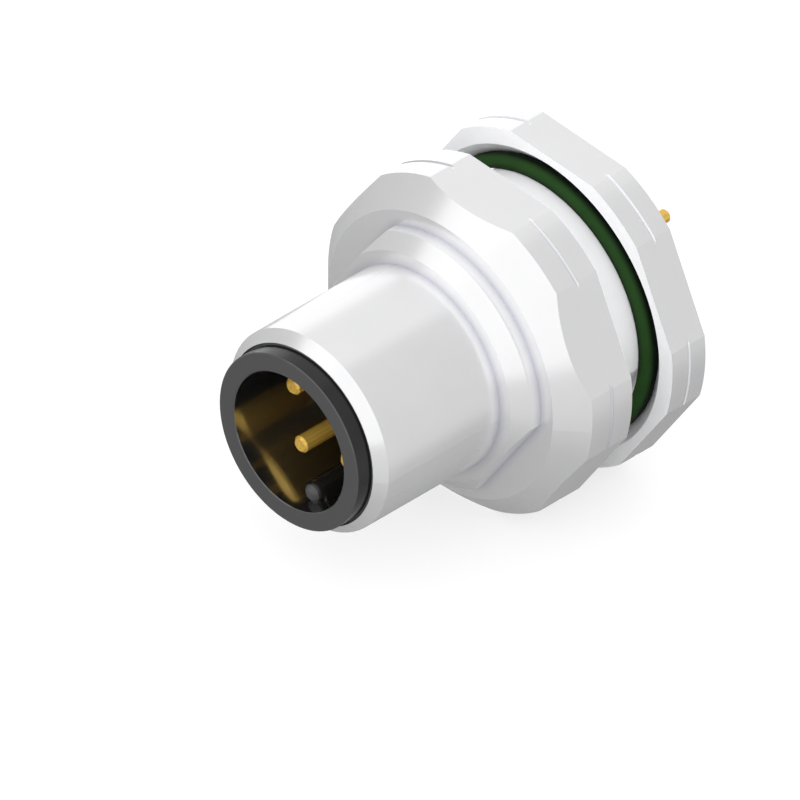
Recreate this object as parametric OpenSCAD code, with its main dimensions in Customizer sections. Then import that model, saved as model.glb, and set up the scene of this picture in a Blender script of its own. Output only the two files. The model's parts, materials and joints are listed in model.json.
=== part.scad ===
// Male M12 panel connector with four contacts, a lock nut and a sealing ring.
// Lengths are in millimetres. The origin is on the axis, in the plane where the hexagon
// seats on the panel. The mating side points to -Y and the wired side to +Y. The part lies
// on the lowest flats of its two hexagons, with +Z up.

/* [Mating sleeve] */
// Outside diameter of the sleeve over its coupling thread, which is drawn plain
sleeve_d = 12; // [11.6:0.1:12.6]
// Length of the sleeve from its shoulder to its front edge
sleeve_l = 9; // [7:0.5:12]
// Wall of the sleeve; its front edge is bevelled over the whole wall
sleeve_wall = 0.6; // [0.5:0.05:0.7]

/* [Collar] */
// Diameter of the round collar behind the sleeve
collar_d = 15.2; // [15:0.1:16.2]
// Length of the collar
collar_l = 1.5; // [1.2:0.1:3]
// 45 degree bevel round the collar's front edge
collar_bevel = 0.8; // [0.4:0.1:0.9]
// Width across the two flats milled on the collar
collar_af = 13.3; // [12.9:0.1:14.2]

/* [Hexagon] */
// Width across the flats of the hexagon and of the lock nut
hex_af = 19; // [18.6:0.2:22]
// How far the turned corners stand out beyond the flats
corner_reach = 0.5; // [0.3:0.05:1]
// Height of the turned corners of the hexagon, behind its front cone
hex_h = 3; // [2.5:0.25:5]
// Diameter of the flat ring in front of the cone
face_ring_d = 17; // [16.6:0.1:17.8]
// Width of the shallow groove turned round the corners
groove_w = 0.26; // [0.2:0.02:0.4]
// Depth of that groove
groove_depth = 0.1; // [0.05:0.01:0.12]

/* [Shank] */
// Diameter of the shank over its PG9 thread, which is drawn plain
shank_d = 15.2; // [15:0.1:15.6]
// Length of the shank behind the panel seat
shank_l = 7; // [6:0.5:12]
// Width across the two flats milled on the shank
shank_af = 13.3; // [13:0.1:14.4]
// 45 degree bevel at the end of the shank
shank_bevel = 0.5; // [0.2:0.1:0.7]
// Diameter of the bore that takes the insert from the rear
bore_d = 12.2; // [11.8:0.1:12.4]
// Distance from the front end of that bore back to the panel seat
bore_seat_h = 4; // [3.5:0.1:4.3]

/* [Lock nut] */
// Thickness of the nut
nut_h = 2.5; // [2.3:0.1:4]
// Distance from the panel seat to the nut's front face, as set here
nut_gap = 3.05; // [2:0.05:4]
// Diameter of the 45 degree countersink in the nut's front face, where the sealing ring sits
countersink_d = 18; // [17.4:0.1:18.4]

/* [Sealing ring] */
// Width of the sealing ring along the axis; its outside is round
seal_w = 1.2; // [1:0.05:1.3]
// Thickness of the sealing ring outwards from its flat side, which lies on the shank
seal_t = 0.7; // [0.65:0.05:1]

/* [Contact insert] */
// How far the insert stands out of the sleeve
insert_reach = 1; // [0.4:0.1:2]
// Wall of the insert round the contact cavity
insert_wall = 1.1; // [0.8:0.05:1.2]
// Depth of the contact cavity
cavity_l = 9.3; // [8:0.1:10]
// Width of the coding key in the cavity
key_w = 1.3; // [0.9:0.1:1.4]
// How far the coding key stands in from the cavity wall
key_reach = 1.15; // [0.8:0.05:1.2]
// Distance from the insert's rim to the front end of the key
key_setback = 0.9; // [0.4:0.1:2]
// Length of the insert's flange in the rear bore
flange_l = 4.5; // [4:0.1:5.5]
// Diameter of the insert behind its flange
boss_d = 9.2; // [8:0.1:10]
// Distance from the insert's rear face to the end of the shank
boss_setback = 1; // [0.4:0.1:2]

/* [Insert seal and retaining ring] */
// Thickness of the insert seal's round section
insert_seal_d = 0.9; // [0.7:0.05:1.1]
// Distance from the front of the flange to the seal's groove
insert_seal_setback = 1.4; // [0.8:0.1:2]
// Length of the retaining ring pressed in behind the flange
retainer_l = 2; // [1.5:0.1:3]

/* [Contacts] */
// Diameter of the contact pins
pin_d = 1; // [0.8:0.05:1.1]
// Diameter of the circle through the pins' centres
pin_circle_d = 5; // [4.6:0.1:5]
// Distance from the insert's rim to the pins' tips
pin_setback = 2.3; // [1:0.1:4]
// Bevel round the pins' tips
pin_bevel = 0.12; // [0.05:0.01:0.2]
// Diameter of the pins' roots in the insert, which end flush with the cavity's floor
pin_root_d = 1.4; // [1.35:0.05:1.5]
// Diameter of the collar that stops each pin in the insert
pin_collar_d = 1.8; // [1.6:0.05:2]
// Length of that collar
pin_collar_l = 0.8; // [0.6:0.1:1.5]
// Distance from the insert's rear face to the back of that collar
pin_collar_setback = 4; // [3:0.1:5]
// Diameter of the solder tails
tail_d = 0.78; // [0.6:0.02:0.78]
// How far the tails stand out beyond the end of the shank
tail_reach = 4.2; // [2:0.1:10]

/* [Hidden] */
$fn = 96;

// Named clearances between pieces
insert_gap = 0.15;      // insert in the sleeve's bore, per side
press_gap = 0.02;       // pressed pieces, and seals on their seats
pin_gap = 0.02;         // pins in the insert, per side
seal_gap = 0.05;        // sealing ring on the shank, per side
thread_gap = 0.05;      // lock nut on the shank, per side
boss_gap = 0.1;         // retaining ring round the insert
lock_gap = 0.05;        // locking rib in its notch, per side
overrun = 1;            // how far cuts run past what they cut

// Small sizes that belong to one piece
lock_rib_w = 1;         // width of the rib that stops the insert turning
lock_rib_h = 0.5;       // height of that rib along the axis
tail_bevel = 0.15;      // bevel at the ends of the tails
rim_bevel = 0.06;       // broken edges of the insert's rim
nut_bevel = 0.3;        // bevel where the thread leaves the nut's rear face

// Directions round the axis, from +X towards +Z
flats_angle = 150;      // one of the two milled flats; the other is opposite
first_pin_angle = 60;
pin_count = 4;
key_angle = first_pin_angle + 225;
lock_rib_angle = key_angle;

// Radii
sleeve_r = sleeve_d / 2;
front_bore_r = sleeve_r - sleeve_wall;
collar_r = collar_d / 2;
face_ring_r = face_ring_d / 2;
corner_r = hex_af / 2 + corner_reach;
shank_r = shank_d / 2;
bore_r = bore_d / 2;
insert_r = front_bore_r - insert_gap;
cavity_r = insert_r - insert_wall;
flange_r = bore_r - press_gap;
boss_r = boss_d / 2;
insert_seal_r = insert_seal_d / 2;
groove_floor_r = bore_r - insert_seal_d - 2 * press_gap;
seal_r = seal_w / 2;
seal_flat_r = shank_r + seal_gap;
seal_centre_r = seal_flat_r + seal_t - seal_r;
countersink_r = countersink_d / 2;
nut_bore_r = shank_r + thread_gap;
pin_r = pin_d / 2;
pin_root_r = pin_root_d / 2;
pin_collar_r = pin_collar_d / 2;
tail_r = tail_d / 2;
key_centre_r = cavity_r - key_reach + key_w / 2;

// Heights along the axis, positive in front of the panel seat and negative behind it
cone_h = corner_r - face_ring_r;
face_ring_z = hex_h + cone_h;
shoulder_z = face_ring_z + collar_l;
sleeve_front_z = shoulder_z + sleeve_l;
rim_z = sleeve_front_z + insert_reach;
cavity_floor_z = rim_z - cavity_l;
flange_front_z = bore_seat_h - press_gap;
flange_rear_z = flange_front_z - flange_l;
insert_groove_z = flange_front_z - insert_seal_setback;
insert_groove_w = insert_seal_d + 2 * press_gap;
boss_rear_z = -shank_l + boss_setback;
pin_tip_z = rim_z - pin_setback;
pin_root_z = cavity_floor_z - press_gap;
pin_collar_z = boss_rear_z + pin_collar_setback;
tail_end_z = -shank_l - tail_reach;
nut_front_z = -nut_gap;
nut_rear_z = nut_front_z - nut_h;
countersink_floor_z = nut_front_z - countersink_r + nut_bore_r;
seal_centre_z = nut_front_z - countersink_r + seal_centre_r + (seal_r + press_gap) / cos(45);

// Turns a shape drawn round Z so that its front points to -Y
module on_axis() {
    rotate([90, 0, 0]) children();
}

// Solid between two heights
module turned(r, z0, z1) {
    translate([0, 0, z0]) cylinder(r = r, h = z1 - z0);
}

// Hexagonal bar with flats at the bottom and the top
module hex_bar(z0, z1) {
    translate([0, 0, z0])
        cylinder(r = hex_af / 2 / cos(30), h = z1 - z0, $fn = 6);
}

// Cutter for the shallow groove round the hexagon's corners
module corner_groove(z) {
    groove_r = (groove_w * groove_w / 4 + groove_depth * groove_depth) / (2 * groove_depth);
    translate([0, 0, z])
        rotate_extrude()
            translate([corner_r - groove_depth + groove_r, 0]) circle(r = groove_r, $fn = 32);
}

// Slab that keeps what lies between two flats, a width af apart
module flats_slab(af, r, z0, z1) {
    rotate([0, 0, flats_angle])
        translate([-af / 2, -r - overrun, z0 - overrun])
            cube([af, 2 * (r + overrun), z1 - z0 + 2 * overrun]);
}

// Round section swept once round the axis
module round_ring(centre_r, z, section_r) {
    translate([0, 0, z])
        rotate_extrude() translate([centre_r, 0]) circle(r = section_r, $fn = 48);
}

// Hexagon with turned corners and a 45 degree cone in front
module shell_hexagon() {
    intersection() {
        rotate_extrude()
            polygon([
                [0, 0],
                [corner_r, 0],
                [corner_r, hex_h],
                [face_ring_r, face_ring_z],
                [0, face_ring_z]
            ]);
        hex_bar(-overrun, face_ring_z + overrun);
    }
}

// Shank behind the hexagon, with two milled flats
module shell_shank() {
    intersection() {
        rotate_extrude()
            polygon([
                [0, -shank_l],
                [shank_r - shank_bevel, -shank_l],
                [shank_r, -shank_l + shank_bevel],
                [shank_r, 0],
                [0, 0]
            ]);
        flats_slab(shank_af, shank_r, -shank_l, 0);
    }
}

// Round collar in front of the hexagon, with two milled flats
module shell_collar() {
    intersection() {
        rotate_extrude()
            polygon([
                [0, face_ring_z],
                [collar_r, face_ring_z],
                [collar_r, shoulder_z - collar_bevel],
                [collar_r - collar_bevel, shoulder_z],
                [0, shoulder_z]
            ]);
        flats_slab(collar_af, collar_r, face_ring_z, shoulder_z);
    }
}

// Mating sleeve, bevelled over its whole wall
module shell_sleeve() {
    rotate_extrude()
        polygon([
            [0, shoulder_z],
            [sleeve_r, shoulder_z],
            [sleeve_r, sleeve_front_z - sleeve_wall],
            [front_bore_r, sleeve_front_z],
            [0, sleeve_front_z]
        ]);
}

// One-piece metal shell, turned from hexagonal bar
module shell() {
    color([0.86, 0.86, 0.87]) on_axis()
        difference() {
            union() {
                shell_hexagon();
                shell_shank();
                shell_collar();
                shell_sleeve();
            }
            turned(front_bore_r, -shank_l - overrun, sleeve_front_z + overrun);
            turned(bore_r, -shank_l - overrun, bore_seat_h);
            corner_groove(hex_h / 2);
            lock_notch();
        }
}

// Cutter for the notch that takes the insert's locking rib
module lock_notch() {
    notch_w = lock_rib_w + 2 * lock_gap;
    notch_reach = sqrt(bore_r * bore_r - notch_w * notch_w / 4) - press_gap;
    rotate([0, 0, lock_rib_angle])
        translate([0, -notch_w / 2, bore_seat_h - overrun])
            cube([notch_reach, notch_w, overrun + lock_rib_h + lock_gap]);
}

// Rib that stops the insert turning in the shell
module lock_rib() {
    inner_r = insert_r - insert_wall / 2;
    outer_r = flange_r - press_gap;
    rotate([0, 0, lock_rib_angle])
        translate([inner_r, -lock_rib_w / 2, flange_front_z])
            cube([outer_r - inner_r - lock_gap, lock_rib_w, lock_rib_h]);
}

// Coding key: a rib with a round back and a domed front end
module coding_key() {
    key_top_z = rim_z - key_setback - key_w / 2;
    rotate([0, 0, key_angle]) {
        translate([key_centre_r, 0, 0]) {
            turned(key_w / 2, cavity_floor_z, key_top_z);
            translate([0, 0, key_top_z]) sphere(r = key_w / 2, $fn = 32);
        }
        translate([key_centre_r, -key_w / 2, cavity_floor_z])
            cube([cavity_r + insert_wall / 2 - key_centre_r, key_w, key_top_z - cavity_floor_z]);
    }
}

// Turned outline of the insert, with its cavity, flange and seal groove
module carrier_blank() {
    rotate_extrude()
        polygon([
            [0, boss_rear_z],
            [boss_r, boss_rear_z],
            [boss_r, flange_rear_z],
            [flange_r, flange_rear_z],
            [flange_r, insert_groove_z - insert_groove_w],
            [groove_floor_r, insert_groove_z - insert_groove_w],
            [groove_floor_r, insert_groove_z],
            [flange_r, insert_groove_z],
            [flange_r, flange_front_z],
            [insert_r, flange_front_z],
            [insert_r, rim_z - rim_bevel],
            [insert_r - rim_bevel, rim_z],
            [cavity_r + rim_bevel, rim_z],
            [cavity_r, rim_z - rim_bevel],
            [cavity_r, cavity_floor_z],
            [0, cavity_floor_z]
        ]);
}

// Moulded insert that carries the contacts
module contact_carrier() {
    color([0.1, 0.1, 0.1]) on_axis()
        difference() {
            union() {
                carrier_blank();
                coding_key();
                lock_rib();
            }
            for (i = [0 : pin_count - 1]) at_pin(i) {
                turned(pin_root_r + pin_gap, boss_rear_z - overrun, cavity_floor_z + overrun);
                turned(pin_collar_r + pin_gap, boss_rear_z - overrun, pin_collar_z + pin_collar_l);
            }
        }
}

// Places a shape on the pin circle
module at_pin(i) {
    rotate([0, 0, first_pin_angle + i * 360 / pin_count])
        translate([pin_circle_d / 2, 0, 0]) children();
}

// One turned contact: pin, root, stop collar and solder tail
module contact_pin(i) {
    color([0.85, 0.68, 0.28]) on_axis() at_pin(i)
        rotate_extrude($fn = 48)
            polygon([
                [0, tail_end_z],
                [tail_r - tail_bevel, tail_end_z],
                [tail_r, tail_end_z + tail_bevel],
                [tail_r, boss_rear_z],
                [pin_root_r, boss_rear_z],
                [pin_root_r, pin_collar_z],
                [pin_collar_r, pin_collar_z],
                [pin_collar_r, pin_collar_z + pin_collar_l - press_gap],
                [pin_root_r, pin_collar_z + pin_collar_l - press_gap],
                [pin_root_r, pin_root_z],
                [pin_r, pin_root_z],
                [pin_r, pin_tip_z - pin_bevel],
                [pin_r - pin_bevel, pin_tip_z],
                [0, pin_tip_z]
            ]);
}

// Rubber seal in the groove of the insert's flange
module carrier_seal() {
    color([0.16, 0.16, 0.17]) on_axis()
        round_ring(groove_floor_r + press_gap + insert_seal_r,
                   insert_groove_z - insert_groove_w / 2, insert_seal_r);
}

// Ring pressed in behind the flange, which keeps the insert in the shell
module retaining_ring() {
    color([0.78, 0.66, 0.4]) on_axis()
        difference() {
            turned(bore_r - press_gap, flange_rear_z - retainer_l, flange_rear_z);
            turned(boss_r + boss_gap, flange_rear_z - retainer_l - overrun, flange_rear_z + overrun);
        }
}

// Green sealing ring, stretched on the shank and seated in the lock nut's countersink
module sealing_ring() {
    color([0.13, 0.3, 0.13]) on_axis()
        difference() {
            round_ring(seal_centre_r, seal_centre_z, seal_r);
            turned(seal_flat_r, seal_centre_z - seal_w, seal_centre_z + seal_w);
        }
}

// Lock nut: a bored and countersunk disc of hexagonal bar with turned corners
module lock_nut() {
    color([0.86, 0.86, 0.87]) on_axis()
        difference() {
            intersection() {
                rotate_extrude()
                    polygon([
                        [nut_bore_r, nut_rear_z + nut_bevel],
                        [nut_bore_r + nut_bevel, nut_rear_z],
                        [corner_r, nut_rear_z],
                        [corner_r, nut_front_z],
                        [countersink_r, nut_front_z],
                        [nut_bore_r, countersink_floor_z]
                    ]);
                hex_bar(nut_rear_z - overrun, nut_front_z + overrun);
            }
            corner_groove(nut_rear_z + nut_h / 2);
        }
}

shell();
contact_carrier();
contact_pin(0);  // contact_pin_1
contact_pin(1);  // contact_pin_2
contact_pin(2);  // contact_pin_3
contact_pin(3);  // contact_pin_4
carrier_seal();
retaining_ring();
sealing_ring();
lock_nut();
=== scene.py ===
"""Looks of the male M12 panel connector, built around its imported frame.

Everything is in metres, in the frame's own axes: the connector's axis is Y, its mating face
looks to -Y, and it lies on the floor with +Z up.
"""
import json
import math

import bmesh
import bpy
from mathutils import Matrix, Vector

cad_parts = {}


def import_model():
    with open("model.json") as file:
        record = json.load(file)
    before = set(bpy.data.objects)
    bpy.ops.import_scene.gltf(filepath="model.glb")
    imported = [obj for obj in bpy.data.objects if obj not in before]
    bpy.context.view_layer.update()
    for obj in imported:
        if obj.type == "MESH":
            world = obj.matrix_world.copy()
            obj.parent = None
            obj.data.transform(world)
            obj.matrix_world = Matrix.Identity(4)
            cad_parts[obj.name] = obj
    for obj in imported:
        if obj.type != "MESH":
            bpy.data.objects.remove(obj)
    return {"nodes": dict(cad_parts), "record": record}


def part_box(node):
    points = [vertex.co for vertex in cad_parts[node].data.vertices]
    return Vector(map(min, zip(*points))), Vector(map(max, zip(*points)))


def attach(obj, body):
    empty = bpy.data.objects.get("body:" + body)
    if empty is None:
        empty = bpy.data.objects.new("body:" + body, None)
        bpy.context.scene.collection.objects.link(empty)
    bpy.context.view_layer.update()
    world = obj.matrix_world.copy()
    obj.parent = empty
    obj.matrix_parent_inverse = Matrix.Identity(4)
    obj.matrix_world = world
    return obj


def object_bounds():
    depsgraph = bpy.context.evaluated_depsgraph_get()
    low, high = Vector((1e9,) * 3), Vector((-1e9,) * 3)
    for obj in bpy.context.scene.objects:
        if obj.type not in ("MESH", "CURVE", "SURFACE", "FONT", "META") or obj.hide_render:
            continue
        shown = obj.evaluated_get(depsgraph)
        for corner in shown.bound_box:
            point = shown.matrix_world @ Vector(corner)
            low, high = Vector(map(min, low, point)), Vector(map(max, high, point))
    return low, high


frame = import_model()
cad_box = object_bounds()
nodes = frame["nodes"]

MM = 0.001

# The photograph's view: an isometric one, with the part turned 5 degrees about its axis so
# that it rests on the flats of its hexagons. The rim pixel is the middle of the insert's rim.
ROLL = math.radians(5)
PIXELS = 800
PIXELS_PER_MM = 18.7
RIM_PIXEL = (288.35, 442.4)
VIEW_DISTANCE = 0.5
CLIP_START = 0.01
CLIP_END = 10

# Shoulder of the insert that closes the gap at the sleeve's front edge
INSERT_RADIUS = 5.25 * MM
SLEEVE_BORE_RADIUS = 5.4 * MM
SHOULDER_GAP = 0.015 * MM
SHOULDER_SETBACK = 0.03 * MM
SHOULDER_SLOPE = 0.1 * MM
SHOULDER_LENGTH = 1.5 * MM
SHOULDER_OVERLAP = 0.05 * MM
TURNED_STEPS = 192

# Parts of a surface that look different from the rest of it
SEAT_TOLERANCE = 0.01 * MM
FRONT_NORMAL = -0.6
WALL_RADII = (4.1 * MM, 4.155 * MM)

# Noise: cells per metre, octaves, and the part of a noise value that is used
METAL_CLOUDS = 350
MOULDED_CLOUDS = 500
TURNING_MARKS = 9000
DRAWN_STREAKS = 6500
FINE_OCTAVES = 3
MARK_OCTAVES = 2
NOISE_RANGE = (0.3, 0.7)

# Painted shade in inner corners, which darkens the colour there: how far it reaches, and its
# colours
SHADE_SAMPLES = 8
SHADE_OPENNESS = 0.5
CREASE_REACH = 0.55 * MM
CREASE_SHADE_COLOUR = (0.76, 0.76, 0.81)
SEAT_REACH = 0.6 * MM
SEAT_SHADE_COLOUR = (0.002, 0.006, 0.002)

# Nickel: two colours, roughness, depth of the marks, and metallic share
NICKEL = ((0.93, 0.93, 0.94), (0.95, 0.95, 0.96), (0.22, 0.27), 0.0003 * MM, 0.7)
MATTE_METALLIC = 0.05

# Black plastic: the paler colour of its front face, which is painted light, and the polished
# skin of the cavity's wall
PAINTED_LIGHT_BLACK = (0.069, 0.069, 0.071)
SKIN_IOR = 3.6
SKIN_ROUGHNESS = 0.13

# Light levels, where 1 is white. The floor's glow and its lit surface come to white together.
WHITE = (1, 1, 1, 1)
WORLD_LEVEL = 1
FLOOR_GLOW = 0.64
FLOOR_ALBEDO = 0.4
FLOOR_SIZE = 4

# Lamps: name, direction in the photograph's frame, distance, size and level
BACK_GAP = 0.01
BACK_LEVEL = 0.06
SOFTBOXES = [
    ("front_softbox", (0.6, -0.9, 0.5), 0.4, 0.6, 0.88),
    ("rear_left_softbox", (-0.8, 0.3, 0.2), 0.4, 0.35, 0.95),
]

# Grey cards that only show in reflections: name, direction in the photograph's frame,
# distance, width, height and level
GREY_CARDS = [
    ("right_card", (0.75, 0.6, 0.55), 0.3, 0.5, 0.46, 0.52),
    ("top_card", (-0.35, 0.58, 0.74), 0.32, 0.3, 0.24, 0.7),
    ("left_card", (-1, -0.35, 0.2), 0.3, 0.25, 0.3, 0.4),
]

# Cards on the floor, which only show in reflections too and are turned a little about Z; they
# are painted shade of the floor, darkest under the part, as the metal reflects it:
# name, left and right end, front and rear end, and level. The last number, where there is one,
# is the place where a level that starts at TABLE_LEVEL reaches the card's own.
CARD_LIFT = 0.0001
FLOOR_CARD_TURN = math.radians(-16)
TABLE_LEVEL = 0.33
TABLE_SPAN = (-15 * MM, 15 * MM)
FLOOR_CARDS = [
    ("table_card", TABLE_SPAN, (-100 * MM, 100 * MM), TABLE_LEVEL),
    ("right_table_card", (TABLE_SPAN[1], 400 * MM), (-100 * MM, 350 * MM), 0.54, 24 * MM),
    ("left_table_card", (-300 * MM, TABLE_SPAN[0]), (-200 * MM, 0), 0.4),
]

# Sockets of a Mix node that mixes colours
MIX_FIRST = 6
MIX_SECOND = 7
MIX_RESULT = 2


def turned_view(x, y, z):
    """A direction of the photograph's frame in the row frame."""
    return Matrix.Rotation(-ROLL, 3, "Y") @ Vector((x, y, z)).normalized()


def node_tree(name):
    """A new material and its empty node tree."""
    material = bpy.data.materials.new(name)
    material.use_nodes = True
    material.node_tree.nodes.clear()
    return material, material.node_tree


def link(tree, source, output, target, target_input):
    tree.links.new(source.outputs[output], target.inputs[target_input])


def principled(name):
    """A material with a Principled shader, which is returned with the material and its tree."""
    material, tree = node_tree(name)
    shader = tree.nodes.new("ShaderNodeBsdfPrincipled")
    out = tree.nodes.new("ShaderNodeOutputMaterial")
    link(tree, shader, "BSDF", out, "Surface")
    return material, tree, shader


def calculate(tree, operation, first, second):
    """A Math node's result; the first input is an output, the second an output or a number."""
    node = tree.nodes.new("ShaderNodeMath")
    node.operation = operation
    tree.links.new(first, node.inputs[0])
    if isinstance(second, (int, float)):
        node.inputs[1].default_value = second
    else:
        tree.links.new(second, node.inputs[1])
    return node.outputs[0]


def coordinate(tree, output, axis):
    """One coordinate of a Texture Coordinate output, in the piece's own frame."""
    place = tree.nodes.new("ShaderNodeTexCoord")
    split = tree.nodes.new("ShaderNodeSeparateXYZ")
    link(tree, place, output, split, "Vector")
    return split.outputs[axis]


def distance_from_axis(tree):
    """Distance from the connector's axis."""
    x_squared = calculate(tree, "POWER", coordinate(tree, "Object", "X"), 2)
    z_squared = calculate(tree, "POWER", coordinate(tree, "Object", "Z"), 2)
    return calculate(tree, "POWER", calculate(tree, "ADD", x_squared, z_squared), 0.5)


def turning_coordinates(tree):
    """Coordinates that stay the same all round: distance from the axis, and Y."""
    join = tree.nodes.new("ShaderNodeCombineXYZ")
    tree.links.new(distance_from_axis(tree), join.inputs["X"])
    tree.links.new(coordinate(tree, "Object", "Y"), join.inputs["Y"])
    return join.outputs["Vector"]


def drawing_coordinates(tree):
    """Coordinates that stay the same along the axis: X and Z."""
    join = tree.nodes.new("ShaderNodeCombineXYZ")
    tree.links.new(coordinate(tree, "Object", "X"), join.inputs["X"])
    tree.links.new(coordinate(tree, "Object", "Z"), join.inputs["Z"])
    return join.outputs["Vector"]


def object_coordinates(tree):
    return tree.nodes.new("ShaderNodeTexCoord").outputs["Object"]


def noise(tree, coordinates, per_metre, octaves):
    """The value of a noise texture with so many cells per metre."""
    texture = tree.nodes.new("ShaderNodeTexNoise")
    texture.inputs["Scale"].default_value = per_metre
    texture.inputs["Detail"].default_value = octaves
    tree.links.new(coordinates, texture.inputs["Vector"])
    return texture.outputs["Fac"]


def map_range(tree, value, start, end, low, high):
    """Maps a value between start and end to one between low and high."""
    node = tree.nodes.new("ShaderNodeMapRange")
    node.inputs["From Min"].default_value = start
    node.inputs["From Max"].default_value = end
    node.inputs["To Min"].default_value = low
    node.inputs["To Max"].default_value = high
    tree.links.new(value, node.inputs["Value"])
    return node.outputs["Result"]


def spread(tree, value, low, high):
    """Maps a noise value to the range from low to high."""
    return map_range(tree, value, *NOISE_RANGE, low, high)


def mix_colours(tree, value, first, second):
    """A colour that runs from first to second with a value from 0 to 1.

    Each of the two is a colour, or the output that gives one.
    """
    mix = tree.nodes.new("ShaderNodeMix")
    mix.data_type = "RGBA"
    for socket, colour in ((MIX_FIRST, first), (MIX_SECOND, second)):
        if isinstance(colour, tuple):
            mix.inputs[socket].default_value = (*colour, 1)
        else:
            tree.links.new(colour, mix.inputs[socket])
    tree.links.new(value, mix.inputs["Factor"])
    return mix.outputs[MIX_RESULT]


def set_finish(tree, shader, colour, fine, roughness, depth):
    """Gives a shader its colour, and lets a fine noise change its roughness and raise it."""
    tree.links.new(colour, shader.inputs["Base Color"])
    tree.links.new(spread(tree, fine, *roughness), shader.inputs["Roughness"])
    raised = tree.nodes.new("ShaderNodeBump")
    raised.inputs["Strength"].default_value = 1
    raised.inputs["Distance"].default_value = depth
    tree.links.new(fine, raised.inputs["Height"])
    link(tree, raised, "Normal", shader, "Normal")


def threaded_part(tree):
    """1 on the shell's shank and on the hexagon's rear face, and 0 in front of them."""
    return calculate(
        tree, "GREATER_THAN", coordinate(tree, "Object", "Y"), -SEAT_TOLERANCE
    )


def front_face(tree):
    """1 on the faces that look to -Y, bevels among them, and 0 elsewhere."""
    return calculate(tree, "LESS_THAN", coordinate(tree, "Normal", "Y"), FRONT_NORMAL)


def cavity_wall(tree):
    """1 on the wall of the insert's contact cavity, and 0 elsewhere."""
    radius = distance_from_axis(tree)
    outside = calculate(tree, "GREATER_THAN", radius, WALL_RADII[0])
    inside = calculate(tree, "LESS_THAN", radius, WALL_RADII[1])
    ahead = calculate(tree, "LESS_THAN", coordinate(tree, "Object", "Y"), 0)
    return calculate(tree, "MULTIPLY", calculate(tree, "MULTIPLY", inside, outside), ahead)


def painted_corner_shade(tree, colour, shade_colour, reach, own_corners):
    """A colour that gives way to a painted shade colour in inner corners, the piece's own or
    all, as an ambient occlusion node finds them.
    """
    corners = tree.nodes.new("ShaderNodeAmbientOcclusion")
    corners.samples = SHADE_SAMPLES
    corners.only_local = own_corners
    corners.inputs["Distance"].default_value = reach
    openness = map_range(tree, corners.outputs["AO"], SHADE_OPENNESS, 1, 0, 1)
    return mix_colours(tree, openness, shade_colour, colour)


def turned_metal(name, first, second, roughness, mark_depth, metallic=1, matte=None):
    """Plated metal with fine marks of the turning tool, more matte where matte gives 1; with a
    matte mask it also gets painted shade in its inner corners.
    """
    material, tree, shader = principled(name)
    clouds = noise(tree, object_coordinates(tree), METAL_CLOUDS, FINE_OCTAVES)
    rings = noise(tree, turning_coordinates(tree), TURNING_MARKS, MARK_OCTAVES)
    plating = mix_colours(tree, spread(tree, clouds, 0, 1), first, second)
    shader.inputs["Metallic"].default_value = metallic
    if matte:
        share = map_range(tree, matte(tree), 0, 1, metallic, MATTE_METALLIC)
        tree.links.new(share, shader.inputs["Metallic"])
        # Painted shade: the plating darkens to a pale lavender in inner corners
        plating = painted_corner_shade(tree, plating, CREASE_SHADE_COLOUR, CREASE_REACH, True)
    set_finish(tree, shader, plating, rings, roughness, mark_depth)
    return material


def drawn_metal(name, first, second, roughness, mark_depth, metallic):
    """Plated metal with fine marks along the wire that it is made from."""
    material, tree, shader = principled(name)
    streaks = noise(tree, drawing_coordinates(tree), DRAWN_STREAKS, MARK_OCTAVES)
    plating = mix_colours(tree, spread(tree, streaks, 0, 1), first, second)
    shader.inputs["Metallic"].default_value = metallic
    set_finish(tree, shader, plating, streaks, roughness, mark_depth)
    return material


def moulded(
    name, first, second, roughness, grain, grain_depth, polished=None, painted_light_face=None, gloss=0.5,
    shade_colour=None
):
    """Plastic or rubber with a fine grain.

    It has a polished skin where polished gives 1, a paler face where painted_light_face gives
    1, which is painted light, and painted shade in inner corners where a shade_colour is given.
    """
    material, tree, shader = principled(name)
    shader.inputs["Specular IOR Level"].default_value = gloss
    if polished:
        tree.links.new(polished(tree), shader.inputs["Coat Weight"])
        shader.inputs["Coat IOR"].default_value = SKIN_IOR
        shader.inputs["Coat Roughness"].default_value = SKIN_ROUGHNESS
    place = object_coordinates(tree)
    clouds = noise(tree, place, MOULDED_CLOUDS, FINE_OCTAVES)
    fine = noise(tree, place, grain, FINE_OCTAVES)
    colour = mix_colours(tree, spread(tree, clouds, 0, 1), first, second)
    # Painted light: the faces that the mask gives are a paler black, as if lit
    if painted_light_face:
        colour = mix_colours(tree, painted_light_face(tree), colour, PAINTED_LIGHT_BLACK)
    # Painted shade: the colour darkens to the shade colour in inner corners
    if shade_colour:
        colour = painted_corner_shade(tree, colour, shade_colour, SEAT_REACH, False)
    set_finish(tree, shader, colour, fine, roughness, grain_depth)
    return material


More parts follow.
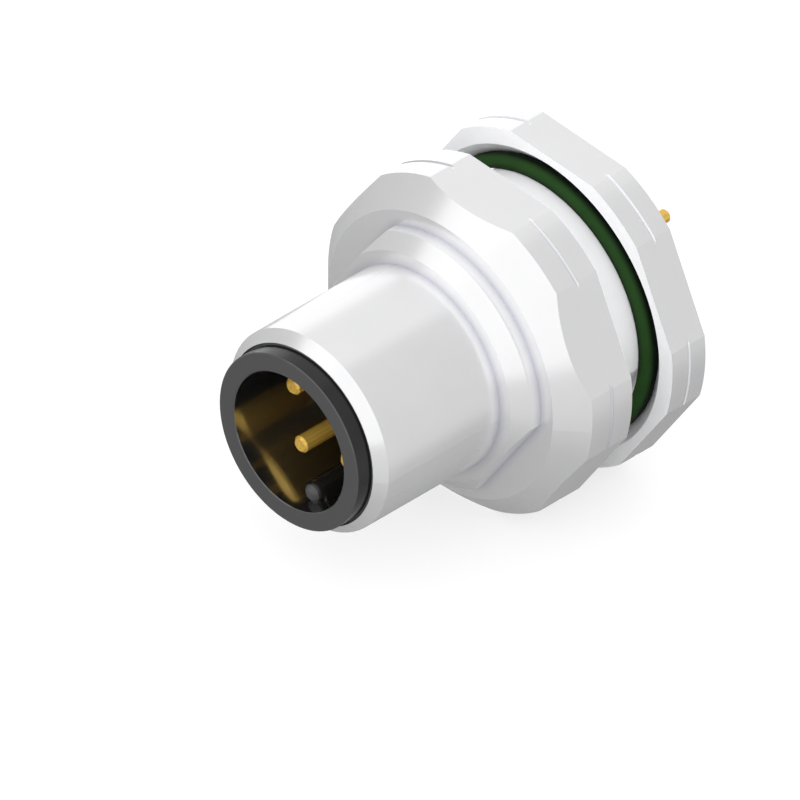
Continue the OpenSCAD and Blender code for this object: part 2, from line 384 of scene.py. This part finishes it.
# The two colours of each, the range of its roughness, and the depth of its marks in the metals
# or the cells per metre and the depth of its grain in the others
MATERIALS = {
    # The shell's nickel is more matte on its threaded part, and gets painted shade in inner
    # corners
    "nickel": turned_metal("nickel", *NICKEL, threaded_part),
    "insert_black": moulded(
        "insert_black", (0.01, 0.01, 0.01), (0.013, 0.013, 0.013), (0.18, 0.24), 6000,
        # Painted light: a paler black on the faces that look to the front
        0.0006 * MM, polished=cavity_wall, painted_light_face=front_face,
    ),
    "contact_gold": drawn_metal(
        "contact_gold", (0.78, 0.42, 0.045), (1, 0.7, 0.16), (0.12, 0.2), 0.006 * MM, 0.38
    ),
    "seal_black": moulded(
        "seal_black", (0.02, 0.02, 0.021), (0.028, 0.028, 0.03), (0.45, 0.6), 8000, 0.002 * MM
    ),
    "retainer_brass": turned_metal(
        "retainer_brass", (0.7, 0.5, 0.2), (0.75, 0.56, 0.25), (0.2, 0.3), 0.0004 * MM
    ),
    "seal_green": moulded(
        "seal_green", (0.016, 0.054, 0.01), (0.019, 0.064, 0.0125), (0.55, 0.65), 8000,
        # Painted shade: near black where the seal sits against the nut and the shank
        0.002 * MM, gloss=0.1, shade_colour=SEAT_SHADE_COLOUR,
    ),
}
# The nut's front faces are more matte, and its inner corners get painted shade
NUT_METAL = turned_metal("nickel_nut", *NICKEL, front_face)


def finish(piece, slot, material=None):
    """Gives a piece the material of its slot, or the material given."""
    piece.data.materials.clear()
    piece.data.materials.append(material or MATERIALS[slot])


def insert_shoulder():
    """The insert's own sloped shoulder, just behind the sleeve's front edge."""
    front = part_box("shell")[0].y + SHOULDER_SETBACK
    rear = front + SHOULDER_LENGTH
    inner = INSERT_RADIUS - SHOULDER_OVERLAP
    outer = SLEEVE_BORE_RADIUS - SHOULDER_GAP
    profile = [(inner, front), (outer, front + SHOULDER_SLOPE), (outer, rear), (inner, rear)]
    shape = bmesh.new()
    rounds = []
    for step in range(TURNED_STEPS):
        angle = 2 * math.pi * step / TURNED_STEPS
        rounds.append([
            shape.verts.new((radius * math.cos(angle), y, radius * math.sin(angle)))
            for radius, y in profile
        ])
    for step, ring in enumerate(rounds):
        following = rounds[(step + 1) % TURNED_STEPS]
        for point in range(len(profile)):
            after = (point + 1) % len(profile)
            shape.faces.new((ring[point], ring[after], following[after], following[point]))
    bmesh.ops.recalc_face_normals(shape, faces=shape.faces)
    mesh = bpy.data.meshes.new("insert_shoulder")
    shape.to_mesh(mesh)
    shape.free()
    piece = bpy.data.objects.new("insert_shoulder", mesh)
    bpy.context.scene.collection.objects.link(piece)
    finish(piece, "insert_black")
    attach(piece, "housing")


def seen_directly(tree):
    """1 for the eye and for rays from glossy or clear surfaces, and 0 for diffuse light."""
    path = tree.nodes.new("ShaderNodeLightPath")
    eye = calculate(
        tree, "MAXIMUM", path.outputs["Is Camera Ray"], path.outputs["Is Glossy Ray"]
    )
    return calculate(tree, "MAXIMUM", eye, path.outputs["Is Transmission Ray"])


def panel(name, x_span, y_span, place):
    """A flat panel in the scene, with an empty material whose node tree is returned too."""
    (left, right), (front, rear) = x_span, y_span
    mesh = bpy.data.meshes.new(name)
    mesh.from_pydata(
        [(left, front, 0), (right, front, 0), (right, rear, 0), (left, rear, 0)],
        [],
        [(0, 1, 2, 3)],
    )
    sheet = bpy.data.objects.new(name, mesh)
    sheet.matrix_world = place
    bpy.context.scene.collection.objects.link(sheet)
    material, tree = node_tree(name)
    mesh.materials.append(material)
    return sheet, tree


def floor():
    """Plain white floor that keeps the part's soft shadow."""
    span = (-FLOOR_SIZE / 2, FLOOR_SIZE / 2)
    tree = panel("floor", span, span, Matrix.Translation((0, 0, cad_box[0].z)))[1]
    glow = tree.nodes.new("ShaderNodeEmission")
    glow.inputs["Color"].default_value = WHITE
    tree.links.new(
        calculate(tree, "MULTIPLY", seen_directly(tree), FLOOR_GLOW), glow.inputs["Strength"]
    )
    matte = tree.nodes.new("ShaderNodeBsdfDiffuse")
    matte.inputs["Color"].default_value = (FLOOR_ALBEDO, FLOOR_ALBEDO, FLOOR_ALBEDO, 1)
    both = tree.nodes.new("ShaderNodeAddShader")
    out = tree.nodes.new("ShaderNodeOutputMaterial")
    tree.links.new(glow.outputs[0], both.inputs[0])
    tree.links.new(matte.outputs[0], both.inputs[1])
    tree.links.new(both.outputs[0], out.inputs["Surface"])


def world():
    """White surroundings, which fill the studio with even light."""
    surroundings = bpy.data.worlds.new("studio")
    bpy.context.scene.world = surroundings
    surroundings.use_nodes = True
    tree = surroundings.node_tree
    tree.nodes.clear()
    white = tree.nodes.new("ShaderNodeBackground")
    white.inputs["Color"].default_value = WHITE
    white.inputs["Strength"].default_value = WORLD_LEVEL
    out = tree.nodes.new("ShaderNodeOutputWorld")
    link(tree, white, "Background", out, "Surface")


def facing(direction, distance):
    """A place in a direction from the part, turned to face it."""
    turn = (-direction).to_track_quat("-Z", "Y").to_matrix().to_4x4()
    return Matrix.Translation(direction * distance) @ turn


def softbox(name, direction, distance, size, level):
    """A square lamp in a direction, with a level of brightness, and its dark back panel."""
    lamp = bpy.data.lights.new(name, "AREA")
    lamp.shape = "SQUARE"
    lamp.size = size
    lamp.energy = level * math.pi * size * size
    holder = bpy.data.objects.new(name, lamp)
    holder.matrix_world = facing(direction, distance)
    bpy.context.scene.collection.objects.link(holder)
    grey_card(name + "_back", direction, distance + BACK_GAP, size, size, BACK_LEVEL)


def grey_card(name, direction, distance, width, height, level):
    """A grey panel that faces the part from a direction and only shows in reflections."""
    spans = (-width / 2, width / 2), (-height / 2, height / 2)
    reflected_card(name, *spans, facing(direction, distance), level)


def floor_card(name, x_span, y_span, level, fade_end=None):
    """A grey card on the floor that only shows in reflections, as painted shade of the floor
    there.

    With a fade_end, its level rises from TABLE_LEVEL at its left end to its own at that place.
    """
    place = (
        Matrix.Rotation(FLOOR_CARD_TURN, 4, "Z")
        @ Matrix.Translation((0, 0, cad_box[0].z + CARD_LIFT))
    )
    tree, glow = reflected_card(name, x_span, y_span, place, level)
    if fade_end:
        across = coordinate(tree, "Object", "X")
        strength = map_range(tree, across, x_span[0], fade_end, TABLE_LEVEL / level, 1)
        tree.links.new(strength, glow.inputs["Strength"])


def reflected_card(name, x_span, y_span, place, level):
    """A grey panel that only shows in reflections; returns its node tree and its glow."""
    card, tree = panel(name, x_span, y_span, place)
    glow = tree.nodes.new("ShaderNodeEmission")
    glow.inputs["Color"].default_value = (level, level, level, 1)
    out = tree.nodes.new("ShaderNodeOutputMaterial")
    link(tree, glow, "Emission", out, "Surface")
    card.visible_camera = False
    card.visible_diffuse = False
    card.visible_transmission = False
    card.visible_shadow = False
    return tree, glow


def lights():
    """The studio's lamps, and the cards that the metal reflects."""
    for name, direction, *measures in SOFTBOXES:
        softbox(name, turned_view(*direction), *measures)
    for name, direction, *measures in GREY_CARDS:
        grey_card(name, turned_view(*direction), *measures)
    for card in FLOOR_CARDS:
        floor_card(*card)


def camera():
    """Parallel camera at the photograph's angle, scale and framing."""
    direction = turned_view(1, -1, 1)
    right = turned_view(1, 1, 0)
    up = turned_view(-1, 1, 2)
    view = bpy.data.cameras.new("camera")
    view.type = "ORTHO"
    view.ortho_scale = PIXELS / PIXELS_PER_MM * MM
    view.clip_start = CLIP_START
    view.clip_end = CLIP_END
    holder = bpy.data.objects.new("camera", view)
    rim = Vector((0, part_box("contact_carrier")[0].y, 0))
    centre = (
        rim
        + right * (PIXELS / 2 - RIM_PIXEL[0]) / PIXELS_PER_MM * MM
        + up * (RIM_PIXEL[1] - PIXELS / 2) / PIXELS_PER_MM * MM
    )
    turn = Matrix((right, up, direction)).transposed().to_4x4()
    holder.matrix_world = Matrix.Translation(centre + direction * VIEW_DISTANCE) @ turn
    bpy.context.scene.collection.objects.link(holder)
    bpy.context.scene.camera = holder


for subpart in frame["record"]["subparts"]:
    finish(nodes[subpart["node"]], subpart["material_slot"])
finish(nodes["lock_nut"], "nickel", NUT_METAL)
insert_shoulder()

floor()
world()
camera()
lights()
bpy.context.scene.view_settings.view_transform = "Standard"
